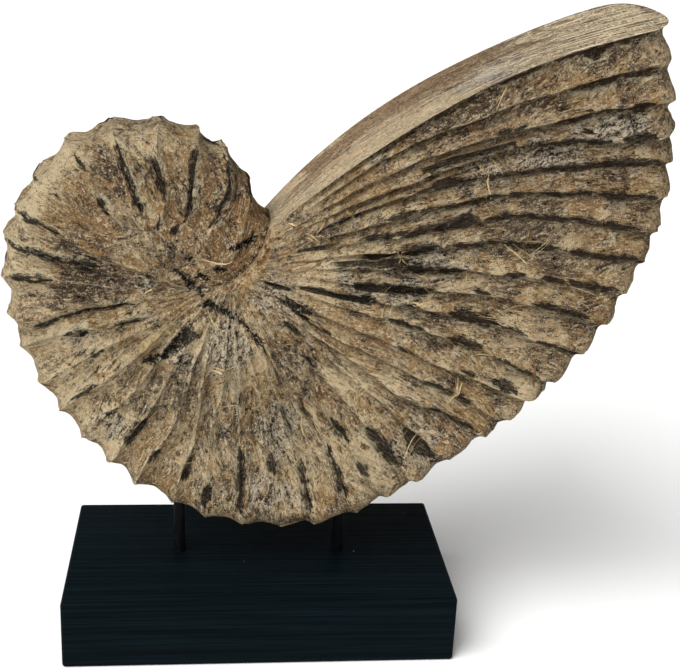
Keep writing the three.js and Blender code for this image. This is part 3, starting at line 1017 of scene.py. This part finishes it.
def paint_seam(b):
    """Painted shade along the seam at the first rib, a brown band and a dark line, and ragged pale bark along
    the raised seam.
    """
    beside_seam = b.rib * b.pitch + (b.mottle - 0.5) * 12 + (b.patch - 0.5) * 26
    # Painted shade: the inner whorl is darkened in a band beside the seam's ledge, and black in its crease
    b.coat(BROWN, beside_seam.below(1, 4) * b.mottle.above(0.42, 0.5) * 0.7)
    b.coat(BLACK, beside_seam.below(-0.4, 0.2) * 0.8)
    raised_edge = (b.along + (b.patch - 0.5) * 26 + (b.mottle - 0.5) * 12).below(6, 8) * b.rib.above(21, 27)
    b.coat(OCHRE, raised_edge * 0.75)
    b.coat(CREAM, raised_edge * (b.patch * 0.6 + b.mottle * 0.4).above(0.5, 0.53) * 0.8)
    b.coat(BROWN, raised_edge * (b.patch * 0.5 + b.mottle * 0.5).below(0.45, 0.47) * 0.8)


def paint_marks(b):
    """The ledge and the black marks across the ribs, on the front only."""
    shaken = b.shaken(b.here, 3, 2.4)
    torn_edge = (b.thread - 0.5) * 6 + (b.mottle - 0.5) * 8 + (b.patch - 0.5) * 4 - 0.7
    front = b.side.below(-0.9, -0.8)
    ledge = (b.near_line(shaken, *LEDGE) + torn_edge).below(-0.4, 0.4) * front
    b.coat(LEDGE_WOOD, ledge * b.mottle.above(0.4, 0.5) * 0.8)
    # The black in these cut marks is partly black paint, partly painted shadow inside the cuts
    for mark in CRACKS:
        crack = (b.near_line(shaken, *mark) + torn_edge).below(-0.3, 0.3) * front
        b.coat(BLACK, crack * 0.93)


def paint_shade_and_age(b):
    """Painted shade on the downward flank of each rib, the last specks, and a browner right side."""
    step = b.rib - b.math("FLOOR", b.rib)
    # Painted shade: the steep flank just under each crest on the right is darkened as if it lay in the
    # crest's shadow
    shaded_flank = step.above(0.66, 0.84) * step.below(0.95, 1) * b.rib.above(15, 21) * b.along.above(30, 65)
    b.coat(FLANK_SHADE, shaded_flank * (0.6 - b.pale * 0.3) * b.mottle.below(0.5, 0.62))
    light = b.mottle * 0.75 + b.strand * 0.25 + b.pale * 0.012 - b.violet * 0.01 + b.warm * 0.006
    b.coat(IVORY, light.above(0.54, 0.57) * (1 - b.line * 0.8) * 0.75)
    b.coat(BLACK, light.below(0.43, 0.45) * 0.65)
    b.coat(BROWN, b.rib.above(25, 36) * 0.11)


def shell_material():
    """Layered bark and thinned paint."""
    b = Shader("aged_bark", TAN)
    for step in (
        bark_patterns, add_strips, paint_strips, paint_washes, paint_grains, paint_strokes, paint_seam,
        paint_marks, paint_shade_and_age,
    ):
        step(b)
    height = b.strand * 0.6 + b.fibre * 0.4 + b.crumbs * 1.1 + b.patch * 1.1 + b.luck * 0.5 - b.line * 0.4
    return b.finish(0.9, b.bump(height, 0.0042), 0.06)


# The lip, where w is the shader of its wood and also holds the patterns

def lip_patterns(w):
    """Facts of the lip, and grain that runs along it."""
    here = w.place()
    w.along, w.edge, w.across = w.fact("along"), w.fact("edge"), w.parts(here)[1]
    slant = w.across + w.along * 0.06

    def grain(scale_along, scale_across, layer, *settings):
        return w.noise(w.vector(w.along * scale_along, slant * scale_across, layer), 1, *settings)

    w.mottle = w.noise(here, 1.3, 4, 0.9)
    w.patch = w.noise(here, 9, 6, 0.72, 0.8)
    w.region = w.noise(here, 26, 4, 0.6, 1.0) - 0.5
    w.grain = grain(0.022, 0.9, 3.0, 5, 0.85, 0.3)
    w.hair = grain(0.04, 1.6, 5.0, 4, 0.85, 0.2)
    w.streak = grain(0.03, 0.45, 7.0, 5, 0.8, 0.4)
    w.line = grain(0.008, 0.35, 9.0, 3, 0.7, 0.1)


def paint_lip_wood(w):
    """Dry wood, paler towards the tip, with pale and dark grain."""
    body = w.grain * 0.35 + w.patch * 0.3 + w.mottle * 0.2 + w.hair * 0.15
    w.coat(w.mix(LIP_LOW, LIP_HIGH, w.along.above(60, 180)), body.above(0.47, 0.515))
    w.coat(LIP_PALE, (w.hair * 0.5 + w.mottle * 0.5).above(0.52, 0.54) * 0.7)
    w.coat(LIP_DARK, (w.hair * 0.6 + w.mottle * 0.4).below(0.455, 0.475) * 0.75)
    w.coat(OCHRE, (w.patch + w.mottle * 0.2).above(0.62, 0.68) * 0.35)


def paint_lip_stains(w):
    """The dark stain at the back of the lower half, the brown tip and a grey bruise."""
    reach = w.along + (w.patch - 0.5) * 60 + w.region * 160
    low_half = reach.above(18, 34) * reach.below(125, 150)
    far = w.across + (w.patch - 0.5) * 60 + (w.streak - 0.5) * 90 + w.region * 40
    stain = far.above(-3, 2) * low_half
    speckle = w.mottle * 0.5 + w.hair * 0.5
    w.coat(STAIN_BROWN, stain * 0.85)
    w.coat(STAIN_DARK, stain * (w.streak * 0.6 + w.hair * 0.4).above(0.5, 0.52) * 0.9)
    w.coat(STAIN_PALE, stain * speckle.above(0.52, 0.54) * 0.75)
    w.coat(BLACK, stain * speckle.below(0.455, 0.47) * 0.7)
    tip = (w.along + (w.patch - 0.5) * 60 + (w.mottle - 0.5) * 40).above(196, 204)
    w.coat(LIP_TIP, tip * (w.mottle * 0.5 + w.patch * 0.5).above(0.46, 0.51) * 0.8)
    bruise = 1 - ((w.along - 121) * 0.05).magnitude() - ((w.across + 14) * 0.03).magnitude()
    bruise = (bruise + (w.patch - 0.5) * 4 + w.region * 3).above(0.2, 0.5)
    w.coat(BRUISE, bruise * w.mottle.above(0.48, 0.53) * 0.7)
    w.coat(BLACK, bruise * (w.mottle * 0.7 + w.hair * 0.3).below(0.42, 0.45) * 0.8)


def paint_lip_splits(w):
    """Dark splits along the upper half, black specks, blots, and a worn dark border."""
    upper = (w.along + w.region * 200).above(70, 150)
    w.split = (w.line - 0.5).magnitude().below(0.03, 0.075)
    w.split = w.split * (w.patch * 0.6 + w.grain * 0.4).above(0.495, 0.515) * upper
    w.coat(SPLIT, w.split * 0.9)
    w.coat(BLACK, (w.mottle * 0.7 + w.patch * 0.3).below(0.405, 0.42) * 0.8)
    w.coat(BLOT, (w.patch * 0.4 + w.mottle * 0.3 + w.grain * 0.3).below(0.45, 0.465) * upper * 0.8)
    border = (w.edge + (w.mottle - 0.5) * 5).below(0.3, 1.1) * (w.patch + w.along * 0.0006).above(0.5, 0.56)
    w.coat(BLACK, border * 0.85)


def lip_material():
    """Bare pale wood with its grain along the lip, its stains and its splits."""
    w = Shader("lip_wood", LIP_BASE)
    for step in (lip_patterns, paint_lip_wood, paint_lip_stains, paint_lip_splits):
        step(w)
    height = w.grain * 0.4 + w.hair * 0.3 + w.mottle * 0.5 - w.split * 0.4
    return w.finish(0.75, w.bump(height, 0.0011), 0.15)


def fibre_material():
    """Dry bark fibre, from cream to brown."""
    sh = Shader("bark_fibre", FIBRE_PALE)
    mottle = sh.noise(sh.place(), 1.5, 4, 0.85)
    sh.coat(FIBRE_BROWN, sh.fact("shade").above(0.2, 0.9))
    sh.coat(BROWN, mottle.above(0.52, 0.6) * 0.6)
    return sh.finish(0.8, sh.bump(mottle, 0.0004), 0.25)


def block_material():
    """Black satin paint brushed over wood, with the grain showing faintly and a few pale flecks."""
    sh = Shader("black_paint", PAINT_DARK)
    here = sh.place()
    grain = sh.noise(sh.stretch(here, 0.008, 0.6, 0.6), 1, 5, 0.7, 0.4)
    sh.coat(PAINT_LIGHT, grain.above(0.35, 0.7))
    sh.coat(FLECK, sh.cells(here, 23).below(0.012, 0.02))
    rough = sh.noise(here, 9, 4, 0.6) * 0.2 + 0.4
    return sh.finish(rough, sh.bump(grain, 0.0006, 0.7), 0.02)


def rod_material():
    """Blackened steel with a dull, slightly uneven surface."""
    sh = Shader("black_metal", METAL_DARK)
    wear = sh.noise(sh.stretch(sh.place(), 1, 1, 0.25), 2, 4, 0.6)
    sh.coat(METAL_LIGHT, wear.above(0.45, 0.75))
    return sh.finish(wear * 0.2 + 0.4, sh.bump(wear, 0.0002), 0.12)


# The studio, the camera and the pieces

def make_floor():
    sh = Shader("pale_floor", FLOOR_TONE)
    sh.finish(0.9, sh.node("NewGeometry", {}, "Normal"), 0.1)
    corners = [(x * FLOOR_HALF, y * FLOOR_HALF, 0) for x, y in ((-1, -1), (1, -1), (1, 1), (-1, 1))]
    make_piece("floor", corners, [(0, 1, 2, 3)], sh.material)


def make_sun():
    data = bpy.data.lights.new("soft_box", "SUN")
    data.angle = SUN_ANGLE
    data.energy = SUN_STRENGTH
    add_object("soft_box", data).rotation_euler = Vector(SUN_DIRECTION).to_track_quat("-Z", "Y").to_euler()


def make_studio():
    """The floor, the light and the room, which is white to the camera and lights the object less."""
    make_floor()
    make_sun()
    world = bpy.data.worlds.new("studio")
    world.use_nodes = True
    tree = world.node_tree
    background = tree.nodes["Background"].inputs
    background["Color"].default_value = (1, 1, 1, 1)
    strength = tree.nodes.new("ShaderNodeMapRange")
    strength.inputs["To Min"].default_value = ROOM_LIGHT
    tree.links.new(tree.nodes.new("ShaderNodeLightPath").outputs["Is Camera Ray"], strength.inputs["Value"])
    tree.links.new(strength.outputs["Result"], background["Strength"])
    bpy.context.scene.world = world
    bpy.context.scene.view_settings.view_transform = "Standard"


def make_camera():
    forward = Vector((
        math.sin(CAMERA_YAW) * math.cos(CAMERA_PITCH),
        math.cos(CAMERA_YAW) * math.cos(CAMERA_PITCH),
        -math.sin(CAMERA_PITCH),
    ))
    level = Vector((math.cos(CAMERA_YAW), -math.sin(CAMERA_YAW), 0))
    upright = level.cross(forward)
    right = level * math.cos(CAMERA_ROLL) + upright * math.sin(CAMERA_ROLL)
    up = upright * math.cos(CAMERA_ROLL) - level * math.sin(CAMERA_ROLL)
    data = bpy.data.cameras.new("camera")
    data.lens = CAMERA_LENS
    data.sensor_width = CAMERA_SENSOR
    data.sensor_fit = "HORIZONTAL"
    data.clip_start = 0.01
    camera = add_object("camera", data)
    turn = Matrix((right, up, -forward)).transposed().to_4x4()
    camera.matrix_world = Matrix.Translation(CAMERA_PLACE) @ turn
    bpy.context.scene.camera = camera


def place_piece(piece, node):
    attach(piece, "root")
    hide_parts(node)


make_camera()
make_studio()

shell, surfaces = build_shell(shell_material(), lip_material())
fibres = build_fibres(surfaces, fibre_material())
block = build_block(block_material())
rod_finish = rod_material()
for rod_name in ROD_NAMES:
    drill(shell, rod_name)
    drill(block, rod_name)
    place_piece(build_rod(rod_name, rod_finish), rod_name)
shade(block, BLOCK_SHARP)
place_piece(shell, "shell")
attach(fibres, "root")
place_piece(block, "stand_block")
